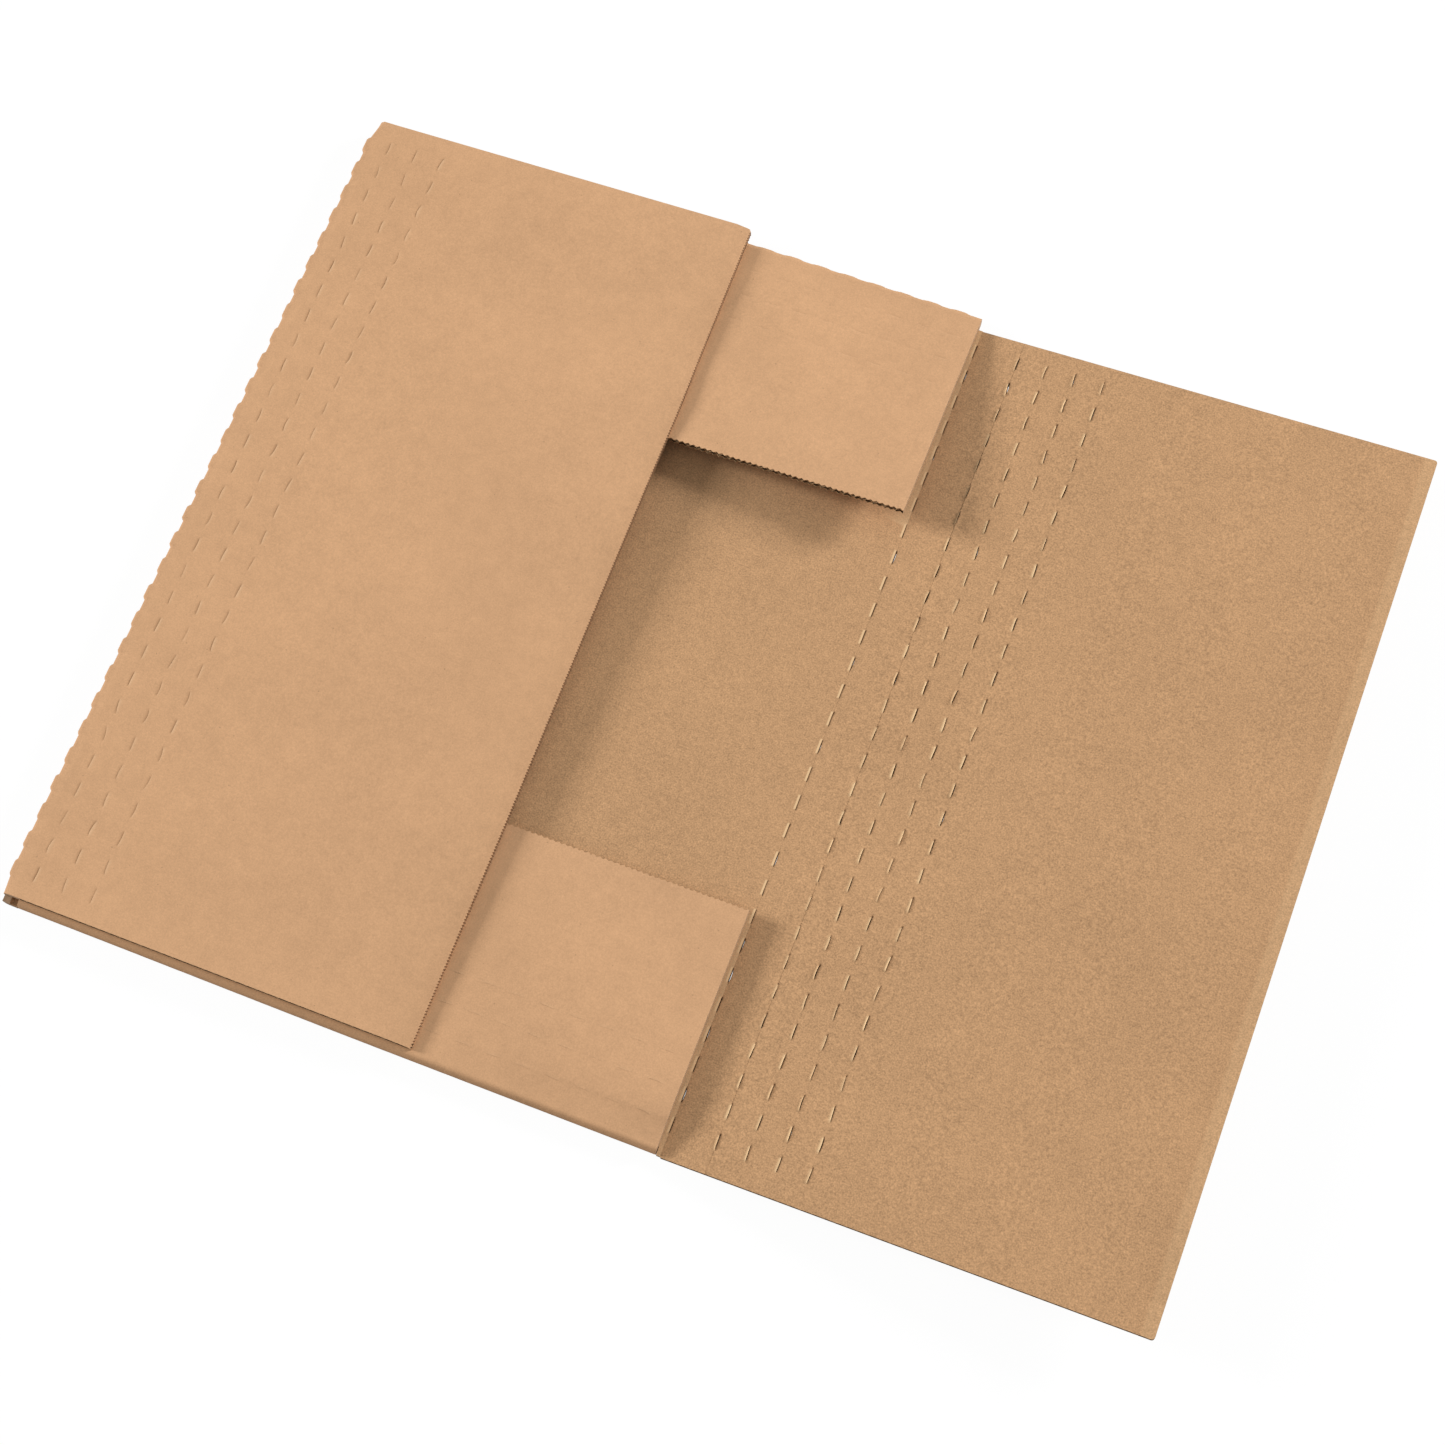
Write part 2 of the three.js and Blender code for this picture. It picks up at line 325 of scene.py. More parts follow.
def board_mesh(name, layout, skin, fluted, ribbons, materials, marks):
    """A closed board.

    skin gives its folded points in mm, at a share of the way from its shown to its hidden face and an
    inset from its cut edges. marks are the tints of both faces, painted light and painted shade among them.
    """
    n = len(layout.flat)
    thin = LINER / BOARD
    layers = [skin(0, 0), skin(1, 0), skin(thin, 0)]
    layers += [skin(thin, FLUTE_DEPTH), skin(1 - thin, FLUTE_DEPTH), skin(1 - thin, 0)]
    top = [tuple(map(int, f)) for f in layout.faces]
    under = [tuple(i + n for i in reversed(f)) for f in top]
    walls, wall_slots = rim_walls(layout, fluted)
    slots = [SHOWN] * len(top) + [HIDDEN] * len(under) + wall_slots
    marks = np.concatenate([*marks, *[marks[0] * 0] * 4])
    points, marks, faces = used_only(np.concatenate(layers), marks, top + under + walls)
    for more, more_faces in ribbons:
        faces += [tuple(i + len(points) for i in f) for f in more_faces]
        slots += [CUT_PAPER] * len(more_faces)
        points = np.concatenate([points, more])
        marks = np.concatenate([marks, np.zeros(len(more))])
    mesh = bpy.data.meshes.new(name)
    mesh.from_pydata((points * MM).tolist(), [], faces)
    for m in materials:
        mesh.materials.append(m)
    mesh.polygons.foreach_set("material_index", np.array(slots, np.int32))
    mesh.polygons.foreach_set("use_smooth", np.ones(len(slots), bool))
    # The lip attribute carries every tint, painted light and painted shade among them
    mesh.attributes.new("lip", "FLOAT", "POINT").data.foreach_set("value", marks.astype(np.float32))
    mesh.set_sharp_from_angle(angle=math.radians(SHARP_ANGLE))
    mesh.validate()
    mesh.update()
    obj = bpy.data.objects.new(name, mesh)
    bpy.context.scene.collection.objects.link(obj)
    return obj


# Perforation

def cut_centres(edge, margin, length):
    """Middles of a row's cuts, from the first one below an edge."""
    count = int((length - margin - CUT_LENGTH / 2) // PITCH) + 1
    return edge - margin - PITCH * np.arange(count)


RIGHT_CENTRES = cut_centres(RIGHT_TOP_Y, RIGHT_CUT_MARGIN, FLAP_HEIGHT)
LEFT_CENTRES = cut_centres(LEFT_TOP_Y, LEFT_CUT_MARGIN, FLAP_HEIGHT)
END_CENTRES = cut_centres(END_RIGHT_X, END_CUT_MARGIN, END_RIGHT_X - END_LEFT_X)


def steps(centres, low, high, step=ROW_STEP):
    """Even steps from low to high that pass through the ends of the cuts."""
    first = centres[0] - CUT_LENGTH / 2
    start = first - math.ceil((first - low) / step) * step
    inner = np.arange(start, high, step)
    inner = inner[(inner > low + LEAST_STEP) & (inner < high - LEAST_STEP)]
    return np.concatenate([[low], inner, [high]])


def around(rows, offsets):
    """Places at each offset from each row."""
    return [row + offset for row in rows for offset in offsets]


def free_columns(last_row, end):
    """A folded flap's columns between its last row of cuts and its free edge."""
    inner = np.arange(last_row + FLAP_ROOM, end - FLAP_END_ROOM, FLAP_STEP)
    return [*inner, end - FLAP_LAST_STEP, end]


def in_cut(along, centres):
    near = np.abs(along[..., None] - centres).min(-1)
    return near < CUT_LENGTH / 2


class Cuts:
    """Rows of perforation cuts, each cut with its own opening, lips and bow.

    opening, lip, bow and dot are sizes: the slit's width, its lips' height, its bend sideways, and the
    painted shade of a dark spot at its end. fall is how far a lip reaches. tint and spread are the lip's
    tint and its reach, on the row's near and far side; a positive tint is painted light, partly also the
    paler cut fibre of an open slit's lip, and a negative one is painted shade. crease is each row's own
    rise.
    """

    OFFSETS = (-2.2, -1.3, -0.8, -0.45, -SLIT_HALF, SLIT_HALF, 0.45, 0.8, 1.3, 2.2)
    REACH = 2.6
    END_OPENING = 0.15
    LIP_FADE = (0.9, 0.7)
    CREASE_WIDTH = 0.9
    DOT_LENGTH = 0.5
    DOT_WIDTH = 0.25

    def __init__(
        self, rows, centres, seed, opening, lip,
        bow=0.12, fall=0.42, tint=(1.2, -1.1), spread=(0.62, 0.28), dot=0.0, crease=None,
    ):
        rng = np.random.default_rng(seed)
        self.rows, self.centres = rows, centres
        size = (len(rows), len(centres))
        self.opening = opening * rng.uniform(0.5, 1.5, size)
        self.lip = lip * rng.uniform(0.45, 1.35, size)
        self.other = rng.uniform(0.1, 0.7, size)
        self.bow = bow * rng.normal(0, 1, size)
        self.slant = bow * rng.normal(0, 1, size)
        self.strength = rng.uniform(0.5, 1.15, size)
        self.dot = dot * rng.uniform(0.2, 1.2, size)
        self.fall, self.tint, self.spread = fall, tint, spread
        self.crease = crease or [0.0] * len(rows)

    def columns(self):
        return around(self.rows, self.OFFSETS)

    def is_cut(self, across, along):
        near = np.abs(across[..., None] - np.array(self.rows)).min(-1) < SLIT_HALF
        return near & in_cut(along, self.centres)

    def shape(self, across, along):
        """Shift across, lift of the raised side, and tint of each point, which holds painted light and
        shade.
        """
        shift, lift, mark = (np.zeros(len(across)) for _ in range(3))
        half = CUT_LENGTH / 2
        for j, row in enumerate(self.rows):
            d = across - row
            near = np.abs(d) < self.REACH
            k = np.abs(along[near][:, None] - self.centres).argmin(1)
            s = along[near] - self.centres[k]
            d = d[near]
            inside = np.abs(s) < half + ON_EDGE
            share = np.clip(np.abs(s) / half, 0, 1)
            lens = np.sqrt(np.maximum(1 - share ** 2, 0)) * (1 - self.END_OPENING) + self.END_OPENING
            away = np.maximum(np.abs(d) - SLIT_HALF, 0)
            wide = (self.opening[j, k] / 2 * lens - SLIT_HALF) * np.sign(d)
            bend = self.bow[j, k] * (1 - share ** 2) + self.slant[j, k] * s / half
            shift[near] += np.where(inside, (wide + bend) * np.clip(1 - away, 0, 1), 0)
            ends = 1 - ramp(np.abs(s), half - self.LIP_FADE[0], half + self.LIP_FADE[1])
            side = np.where(d < 0, 1.0, self.other[j, k])
            lift[near] += self.lip[j, k] * side * ends * np.exp(-away / self.fall)
            lift[near] += self.crease[j] * np.exp(-(d / self.CREASE_WIDTH) ** 2)
            # The lip's tint, painted light where positive and painted shade where negative
            tint = np.where(d < 0, *self.tint) * self.strength[j, k]
            mark[near] += tint * ends * np.exp(-(away / np.where(d < 0, *self.spread)) ** 2)
            # A dark spot of painted shade at the slit's end
            spot = np.exp(-((s - half) / self.DOT_LENGTH) ** 2) * np.exp(-away / self.DOT_WIDTH)
            mark[near] -= self.dot[j, k] * spot
        return shift, lift, mark


def eased(lift, share):
    """A cut's lift at a share of the way from the raised face to the far one."""
    return lift * (1 - FAR_FACE_LOSS * share)


def tabs(along, centres):
    """1 across each perforation cut of a fold, where the board stands out as a tab, and 0 between them."""
    k = np.abs(along[:, None] - centres).argmin(1)
    inset = CUT_LENGTH / 2 - np.abs(along - centres[k])
    uneven = np.random.default_rng(TAB_SEED).uniform(*TAB_VARIATION, len(centres))[k]
    return ramp(inset, *TAB_START) * uneven


# Folding

def square_off(wave):
    """A sine or cosine drawn towards a square wave, which turns a round fold into a squarer one."""
    return np.sign(wave) * np.abs(wave) ** (2 / FOLD_SQUARENESS)


def bend_point(angle, outer, depth, bulge=0.0):
    """A bend's run out and height for a point at a depth below its outer face."""
    r = outer - depth
    return (r + bulge) * square_off(np.sin(angle)), outer - r * square_off(np.cos(angle))


def end_lift(x, share):
    """Lift of the top end flap at an x and a share of its run."""
    start = LEFT_FOLD_X + END_LIFT_START
    run = np.maximum(0, x - start) / (END_RIGHT_X - start)
    return END_LIFT * share * run ** END_LIFT_POWER


def bottom_lift(x, share):
    """Lift of the bottom end flap at an x and a share of its run."""
    run = np.clip((x - BOTTOM_RISE_X) / (END_RIGHT_X - BOTTOM_RISE_X), 0, 1)
    return BOTTOM_RISE * run ** BOTTOM_RISE_POWER * ramp(share, 0, BOTTOM_RISE_RUN)


def left_lift(run_share, height_share):
    """Lift of the left flap, a twisted plane that rests on the top end flap's corner."""
    rest_share = (TOP_FOLD_Y - END_FLAP_REACH - LEFT_BOTTOM_Y) / FLAP_HEIGHT
    rest_lift = end_lift(LEFT_FOLD_X + LEFT_FLAP_REACH, 1)
    slope = (rest_lift - LEFT_LIFT_BOTTOM) / rest_share
    return (LEFT_LIFT_BOTTOM + slope * height_share) * run_share


def corner_taper(v):
    """How much the left fold's bulge fades beside its ends, where no perforation lets it out."""
    top = TOP_TAPER * ramp(v, LEFT_TOP_Y - TOP_TAPER_RUN, LEFT_TOP_Y)
    return top + BOTTOM_TAPER * ramp(v, *BOTTOM_TAPER_Y)


def fold_stray(u, v):
    """How far the end folds stray from their lines, most at their left ends."""
    share = np.clip((u - END_LEFT_X) / (END_RIGHT_X - END_LEFT_X), 0, 1)
    top = ramp(v, TOP_BEND_Y - STRAY_REACH, TOP_BEND_Y)
    bottom = ramp(v, BOTTOM_BEND_Y + STRAY_REACH, BOTTOM_BEND_Y)
    top_stray = TOP_STRAY_GAIN * np.maximum(share, STRAY_TURN) + TOP_STRAY
    return top_stray * top + BOTTOM_STRAY * (1 - ramp(share, 0, STRAY_TURN)) * bottom


def fold_right(u, v, depth):
    """A point of the right flap, at a distance from the crease and a depth below its shown face."""
    below = BOARD - depth
    x = CREASE_X + u * math.cos(RIGHT_FLAP_RISE) + below * math.sin(RIGHT_FLAP_RISE)
    z = BOARD + u * math.sin(RIGHT_FLAP_RISE) - below * math.cos(RIGHT_FLAP_RISE)
    return np.stack([x, v, z], 1)


def fold_left(u, v, depth, push=0.0):
    """A point of the left flap. Its flat u is the bend's angle up to half a turn, then runs on in mm."""
    out, up = bend_point(np.minimum(u, math.pi), LEFT_BEND, depth, LEFT_FOLD_BULGE)
    run = np.maximum(0, u - math.pi)
    z = up + left_lift(run / LEFT_RUN, (v - LEFT_BOTTOM_Y) / FLAP_HEIGHT)
    x = LEFT_BEND_X - out - push + run
    over_flap = np.clip((v - (TOP_FOLD_Y - END_FLAP_REACH)) / END_FLAP_REACH, 0, 1)
    gap = np.maximum(0, z - up - end_lift(x, 1 - over_flap) - LAYER_GAP)
    drop = SETTLE * gap * ramp(over_flap, 0, SETTLE_RUN)
    run_share = run / LEFT_FLAP_REACH
    draw_in = DRAW_IN * run_share * ramp(v, *DRAW_IN_Y)
    trim = TOP_TRIM * (1 - run_share) * ramp(v, TOP_TRIM_START_Y, LEFT_TOP_Y)
    crush = EDGE_CRUSH * ramp(run, LEFT_RUN - EDGE_CRUSH_WIDTH, LEFT_RUN)
    x = x - draw_in + SETTLE_DRIFT[0] * drop
    y = v - trim + SETTLE_DRIFT[1] * drop
    return np.stack([x, y, z - drop - crush], 1)


def fold_base(u, v, depth, push=0.0):
    """A point of the panel, its end flaps or its half of the left fold, where u or v runs on as an angle."""
    way = np.where(v > 0, 1.0, -1.0)
    start = np.where(v > 0, TOP_BEND_Y, BOTTOM_BEND_Y)
    on_end = (u > END_LEFT_X - NEAR) & (u < END_RIGHT_X + NEAR)
    past = np.where(on_end, np.maximum(0, way * (v - start)), 0)
    run = np.maximum(0, past - math.pi)
    out, up = bend_point(np.minimum(past, math.pi), END_BEND, depth)
    lift = np.where(v > 0, end_lift(u, run / END_RUN), bottom_lift(u, run / END_RUN))
    y = np.where(past > 0, start + way * (out + push - run), v) + fold_stray(u, v)
    flat = np.stack([u, y, up + lift], 1)
    angle = np.clip(LEFT_BEND_X - u, 0, math.pi)
    out, up = bend_point(angle, LEFT_BEND, depth, LEFT_FOLD_BULGE)
    bent = np.stack([LEFT_BEND_X - out - push, v, up], 1)
    return np.where((u < LEFT_BEND_X - NEAR)[:, None], bent, flat)


# Edges

def inward(v, low, high):
    """Which way is inward from the nearer of two edges."""
    return np.where(v > (low + high) / 2, -1.0, 1.0)


def saw(along, step=ROW_STEP):
    """Small teeth that the cutting rule leaves along a free edge."""
    return SAW * np.where(np.round(along / step) % 2 == 0, 1.0, -1.0)


def round_corners(u, v, end, low, high):
    """Flat points with the two corners at u = end rounded."""
    r = CORNER_RADIUS
    cu = end - r
    cv = np.where(v > 0, high - r, low + r)
    du, dv = u - cu, v - cv
    beyond = (du > 0) & (dv * np.where(v > 0, 1, -1) > 0)
    reach = np.maximum(np.hypot(du, dv), NEAR)
    scale = np.where(beyond, np.maximum(np.abs(du), np.abs(dv)) / reach, 1.0)
    return cu + du * scale, cv + dv * scale


def side_ribbons(skin_at, start, end, low, high):
    """The medium along a board's lower and upper edges."""
    return [ribbon(skin_at, start, end, low, 1), ribbon(skin_at, start, end, high, -1)]


# Boards

def make_right(name, start, end, rows, seed, materials):
    """A board of the right flap, between two distances from the crease."""
    crease = [ROW_CREASES[i % 2] for i in range(len(rows))]
    # Paler cut fibre with painted light on each slit's near lip, and painted shade on its far side and in
    # the dark spot at its end
    cuts = Cuts(rows, RIGHT_CENTRES, seed, opening=0.32, lip=0.55, dot=1.6, crease=crease)
    low, high = RIGHT_BOTTOM_Y, RIGHT_TOP_Y
    has_far_edge = end == RIGHT_FLAP_WIDTH
    us = [c for c in cuts.columns() if start < c < end]
    even = np.arange(start, end - RIGHT_END_ROOM, RIGHT_STEP)
    us += [c for c in even if min(abs(c - row) for row in rows) > RIGHT_ROOM]
    if has_far_edge:
        us += [end - c for c in BAND_COLUMNS + CORNER_COLUMNS]
    layout = Layout()
    layout.grid([start, *sorted(us), end], steps(RIGHT_CENTRES, low, high), cuts.is_cut)
    u, v = layout.weld()
    shift, lift, mark = cuts.shape(u, v)
    beside_crease = u < CREASE_ROOM
    lift[beside_crease] = 0
    shift[beside_crease] = np.maximum(shift[beside_crease], start - u[beside_crease])
    band = RIGHT_FLAP_WIDTH - EDGE_BAND
    mark += EDGE_BAND_TINT * ramp(u, band - EDGE_BAND_SOFTNESS, band + EDGE_BAND_SOFTNESS)
    flat_u, flat_v = round_corners(u, v, end, low, high) if has_far_edge else (u, v)

    def skin(share, inset):
        depth = BOARD * (1 - share) + eased(lift, share)
        return fold_right(flat_u + shift, flat_v + inset * inward(v, low, high), depth)

    def fluted(point):
        return min(abs(point[1] - low), abs(point[1] - high)) < ON_EDGE

    def at(a, b, share):
        return fold_right(a, b, BOARD * (1 - share))

    waves = side_ribbons(at, start + RIGHT_MEDIUM_ENDS[0], end - RIGHT_MEDIUM_ENDS[1], low, high)
    return board_mesh(name, layout, skin, fluted, waves, materials, (mark, mark * 0))


def make_left(materials):
    """The left flap, from the middle of its fold."""
    rows = [score + math.pi - LEFT_BEND for score in LEFT_SCORES]
    # Painted shade on each dent's near side and painted light on its far side
    cuts = Cuts(
        rows, LEFT_CENTRES, 5, opening=0.05, lip=0.2,
        bow=0.25, fall=0.7, tint=(-0.6, 0.5), spread=(0.5, 0.6),
    )
    low, high = LEFT_BOTTOM_Y, LEFT_TOP_Y
    end = math.pi + LEFT_RUN
    slit_end = math.radians(LEFT_SLIT_END)
    us = sorted([*np.radians(LEFT_ANGLES), *cuts.columns(), *free_columns(rows[-1], end)])
    layout = Layout()
    layout.grid(
        us, steps(LEFT_CENTRES, low, high),
        lambda a, b: cuts.is_cut(a, b) | ((a < slit_end) & in_cut(b, LEFT_CENTRES)),
    )
    u, v = layout.weld()
    shift, lift, mark = cuts.shape(u, v)
    on_free_edge = u > end - NEAR
    shift[on_free_edge] += saw(v[on_free_edge])
    out = LEFT_TAB_PUSH * tabs(v, LEFT_CENTRES) - corner_taper(v)
    push = out * (1 - ramp(u, *np.radians(LEFT_TAB_FADE)))
    # Painted shade over the face of the left fold, fading out towards the flap
    mark -= FOLD_SHADE * (1 - ramp(u, *np.radians(LEFT_SHADE_FADE)))

    def skin(share, inset):
        depth = BOARD * share + eased(lift, share)
        return fold_left(u + shift, v + inset * inward(v, low, high), depth, push)

    def fluted(point):
        return point[0] > math.pi and min(abs(point[1] - low), abs(point[1] - high)) < ON_EDGE

    def at(a, b, share):
        return fold_left(a, b, BOARD * share)

    waves = side_ribbons(at, math.pi + FLAP_MEDIUM_ENDS[0], end - FLAP_MEDIUM_ENDS[1], low, high)
    return board_mesh("left_flap_board", layout, skin, fluted, waves, materials, (mark, mark * 0))


def end_cuts():
    """Cuts of each end flap and of its fold: painted shade and light on the two sides of each flap's dents,
    and painted shade in each slit of a fold.
    """
    flaps, folds = {}, {}
    for way in BEND_Y:
        flaps[way] = Cuts(
            END_ROWS, END_CENTRES, 11 + way, opening=0.02, lip=0.06,
            bow=0.15, fall=0.6, tint=(-0.14, 0.1), spread=(0.5, 0.5),
        )
        tint = END_SLIT_PAINTED_SHADE[way]
        folds[way] = Cuts(
            [0.0], END_CENTRES, 21 + way, opening=0.35, lip=0.05, tint=(tint, tint), spread=(0.3, 0.3),
        )
    return flaps, folds


def add_end_flap(layout, way, xs, cuts):
    """An end fold and its flap, as a grid that goes on from the panel's edge."""
    start = BEND_Y[way]
    slit = np.radians(END_SLIT)
    runs = around(END_ROWS, END_OFFSETS) + free_columns(END_ROWS[-1], END_RUN)
    past = np.array([*np.radians(END_ANGLES), *(math.pi + run for run in runs)])

    def cut(u, v):
        w = way * (v - start)
        on_flap = cuts.is_cut(w - math.pi, u) & (w > math.pi)
        on_fold = (w > slit[0]) & (w < slit[1]) & in_cut(u, END_CENTRES)
        return on_flap | on_fold

    layout.grid(xs, np.sort(start + way * past), cut)


def add_left_turn(layout, vs):
    """The panel's half of the left fold, which runs a little past the end folds."""
    slit_start = LEFT_BEND_X - math.radians(TURN_SLIT_START)
    us = np.sort(LEFT_BEND_X - np.radians(TURN_ANGLES))
    rows = [*(BOTTOM_BEND_Y - past for past in TURN_PAST_BOTTOM), *vs, TOP_BEND_Y + TURN_PAST_TOP]
    layout.grid(us, rows, lambda a, b: (a < slit_start) & in_cut(b, LEFT_CENTRES))


def strip_grid():
    """Columns and rows of the panel's strip beside the crease."""
    edge = CREASE_X - HINGE_GAP / 2
    columns = [END_RIGHT_X + STRIP_GAP, *(edge - c for c in STRIP_COLUMNS)]
    rows = steps(RIGHT_CENTRES, *STRIP_ENDS)
    return columns, sorted({*rows, BOTTOM_BEND_Y, STRIP_ENDS[1] - STRIP_GAP})


def base_outline(xs, vs, strip_x, strip_vs):
    """The panel's outline: end folds, the strip beside the crease, and the left bend."""
    top_end = STRIP_ENDS[1] - STRIP_GAP
    right = [(strip_x, y) for y in strip_vs if BOTTOM_BEND_Y - NEAR < y < top_end + NEAR]
    bottom = [(x, BOTTOM_BEND_Y) for x in xs]
    top = [(END_RIGHT_X, top_end)] + [(x, TOP_BEND_Y) for x in xs[::-1]]
    return bottom + right + top + [(LEFT_BEND_X, y) for y in vs[::-1]]


def base_layout(flap_cuts):
    """The panel with its end flaps, its half of the left fold, and the strip beside the crease."""
    layout = Layout()
    xs = steps(END_CENTRES, END_LEFT_X, END_RIGHT_X, 2 * ROW_STEP)
    for way in BEND_Y:
        add_end_flap(layout, way, xs, flap_cuts[way])
    vs = steps(LEFT_CENTRES, BOTTOM_BEND_Y, TOP_BEND_Y)
    add_left_turn(layout, vs)
    strip, strip_vs = strip_grid()
    layout.grid(strip, strip_vs, lambda a, b: (a > strip[-2]) & in_cut(b, RIGHT_CENTRES))
    inner = [
        (x, y)
        for x in np.arange(LEFT_BEND_X + PANEL_STEP, END_RIGHT_X - PANEL_ROOM, PANEL_STEP)
        for y in np.arange(BOTTOM_BEND_Y + PANEL_STEP, TOP_BEND_Y - PANEL_ROOM, PANEL_STEP)
    ]
    layout.fill(base_outline(xs, vs, strip[0], strip_vs), inner)
    return layout


def shape_ends(u, v, flap_cuts, fold_cuts):
    """Shift along, lift, outer tint and push out of the points on the end folds and end flaps. The tint is
    painted shade over the folds and in their slits, and painted light and shade beside the flaps' dents.
    """
    shift, lift, mark, push = (np.zeros(len(u)) for _ in range(4))
    on_end = (u > END_LEFT_X - NEAR) & (u < END_RIGHT_X + NEAR)
    slit_angle = np.radians(END_SLIT).mean()
    for way, start in BEND_Y.items():
        w = way * (v - start)
        flap = on_end & (w > math.pi + ON_EDGE)
        fold = on_end & (w > 0) & (w < math.pi)
        s, h, m = flap_cuts[way].shape(w[flap] - math.pi, u[flap])
        shift[flap], lift[flap], mark[flap] = s * way, h, m
        s, h, m = fold_cuts[way].shape((w[fold] - slit_angle) * END_BEND, u[fold])
        shift[fold], lift[fold], mark[fold] = s / END_BEND * way, h, m
        push[fold] = tabs(u[fold], END_CENTRES) * END_TAB_PUSH[way] * np.sin(w[fold])
        # Painted shade over the face of each end fold, deepest half way round it
        mark[fold] -= END_FOLD_SHADE[way] * np.sin(w[fold])
        free = on_end & (w > math.pi + END_RUN - NEAR)
        shift[free] += saw(u[free], 2 * ROW_STEP) * way
    return shift, lift, mark, push


def shape_turn(u, v, mark, push):
    """Adds the painted shade and the tabs of the panel's half of the left fold."""
    turned = LEFT_BEND_X - u
    on_turn = turned > NEAR
    out = LEFT_TAB_PUSH * tabs(v[on_turn], LEFT_CENTRES) - corner_taper(v[on_turn])
    push[on_turn] = out * ramp(turned[on_turn], *TURN_TAB_GROWTH)
    mark[on_turn] -= FOLD_SHADE


def strip_marks(u, v):
    """Tints of the strip beside the crease: paler cut fibre with painted light on its tabs, painted shade at
    their ends, and painted light on the stretches beside the end flaps.
    """
    columns = strip_grid()[0]
    mark = np.zeros(len(u))
    tab = (u > columns[2] - NEAR) & in_cut(v, RIGHT_CENTRES)
    beside_flap = (u > columns[0] - NEAR) & (np.abs(v) > TOP_FOLD_Y - END_FLAP_REACH)
    # Painted light on the strip beside the end flaps
    mark[beside_flap] = STRIP_PAINTED_LIGHT
    mark[tab] = STRIP_TAB_FIBRE_LIGHT_AND_SHADE
    # Painted shade at the tabs' ends by the crease
    mark[tab & (u > columns[4] - NEAR)] = -STRIP_TAB_FIBRE_LIGHT_AND_SHADE
    return mark


def make_base(materials):
    """The centre panel with both end flaps folded in."""
    flap_cuts, fold_cuts = end_cuts()
    layout = base_layout(flap_cuts)
    u, v = layout.weld()
    shift, lift, mark, push = shape_ends(u, v, flap_cuts, fold_cuts)
    shape_turn(u, v, mark, push)

    def skin(share, inset):
        depth = BOARD * (1 - share) + eased(lift, 1 - share)
        return fold_base(u, v + shift + inset * -np.sign(v), depth, push)

    def fluted(point):
        run = abs(point[1] - BEND_Y[1 if point[1] > 0 else -1]) - math.pi
        return abs(run - END_RUN) < ON_EDGE and END_LEFT_X - ON_EDGE < point[0] < END_RIGHT_X + ON_EDGE

    def at(a, b, share):
        return fold_base(a, b, BOARD * (1 - share))

    from_x, to_x = END_LEFT_X + FLAP_MEDIUM_ENDS[0], END_RIGHT_X - FLAP_MEDIUM_ENDS[1]
    edges = {way: start + way * (math.pi + END_RUN) for way, start in BEND_Y.items()}
    waves = [ribbon(at, from_x, to_x, edge_y, -way) for way, edge_y in edges.items()]
    return board_mesh("base_board", layout, skin, fluted, waves, materials, (strip_marks(u, v), mark))


# Materials

# Each noise of the paper: its scale, its detail, and its share of the mottle and of the grain
CLOUDS = (14, 3, 1.0, 0.0)
MOTTLE = (150, 4, 1.0, 0.0)
FIBRES = (560, 3, 0.0, 0.6)
GRAIN = (1500, 2, 0.0, 1.5)
NOISE_ROUGHNESS = 0.6
NOISE_RANGE = (0.25, 0.75)
SEED_TURN = 0.7
FIBRE_STRETCH = (1, 1, 0.2)
PAPER_ROUGHNESS = 0.86
PAPER_SPECULAR = 0.22
SPECK_SCALE = 150.0
SPECK_SIZE = 0.045
SPECK_DEPTH = 0.22
# How far the lip attribute mixes the paper towards the paler colour, which paints light, and towards the
# shade colour, which paints shade
FIBRE_AND_PAINTED_LIGHT_STRENGTH = 0.9
SHADE_STRENGTH = -0.85
BUMP_STRENGTH = 0.25
BUMP_HEIGHT = 0.0002


def node(tree, kind, **values):
    """A new node with its properties or sockets set."""
    made = tree.nodes.new(kind)
    for key, value in values.items():
        if hasattr(made, key):
            setattr(made, key, value)
        else:
            made.inputs[key.replace("_", " ")].default_value = value
    return made


def maths(tree, operation, first, second, clamp=False):
    """The outcome of a maths node on two values or outputs."""
    made = node(tree, "ShaderNodeMath", operation=operation, use_clamp=clamp)
    for socket, value in zip(made.inputs, (first, second)):
        if isinstance(value, (int, float)):
            socket.default_value = value
        else:
            tree.links.new(value, socket)
    return made.outputs[0]


def varied(tree, place, sizes):
    """Sum of noises about 0, each given as scale, detail and size."""
    low, high = NOISE_RANGE
    total = None
    for scale, detail, size in sizes:
        noise = node(tree, "ShaderNodeTexNoise", Scale=scale, Detail=detail, Roughness=NOISE_ROUGHNESS)
        tree.links.new(place, noise.inputs["Vector"])
        part = node(tree, "ShaderNodeMapRange", From_Min=low, From_Max=high, To_Min=-size, To_Max=size)
        tree.links.new(noise.outputs[0], part.inputs["Value"])
        total = part.outputs[0] if total is None else maths(tree, "ADD", total, part.outputs[0])
    return total


def tinted(tree, share, base, colour):
    """base mixed towards a colour by a share."""
    mix = node(tree, "ShaderNodeMix", data_type="RGBA")
    tree.links.new(share, mix.inputs[0])
    tree.links.new(base, mix.inputs[6])
    mix.inputs[7].default_value = (*colour, 1)
    return mix.outputs[2]


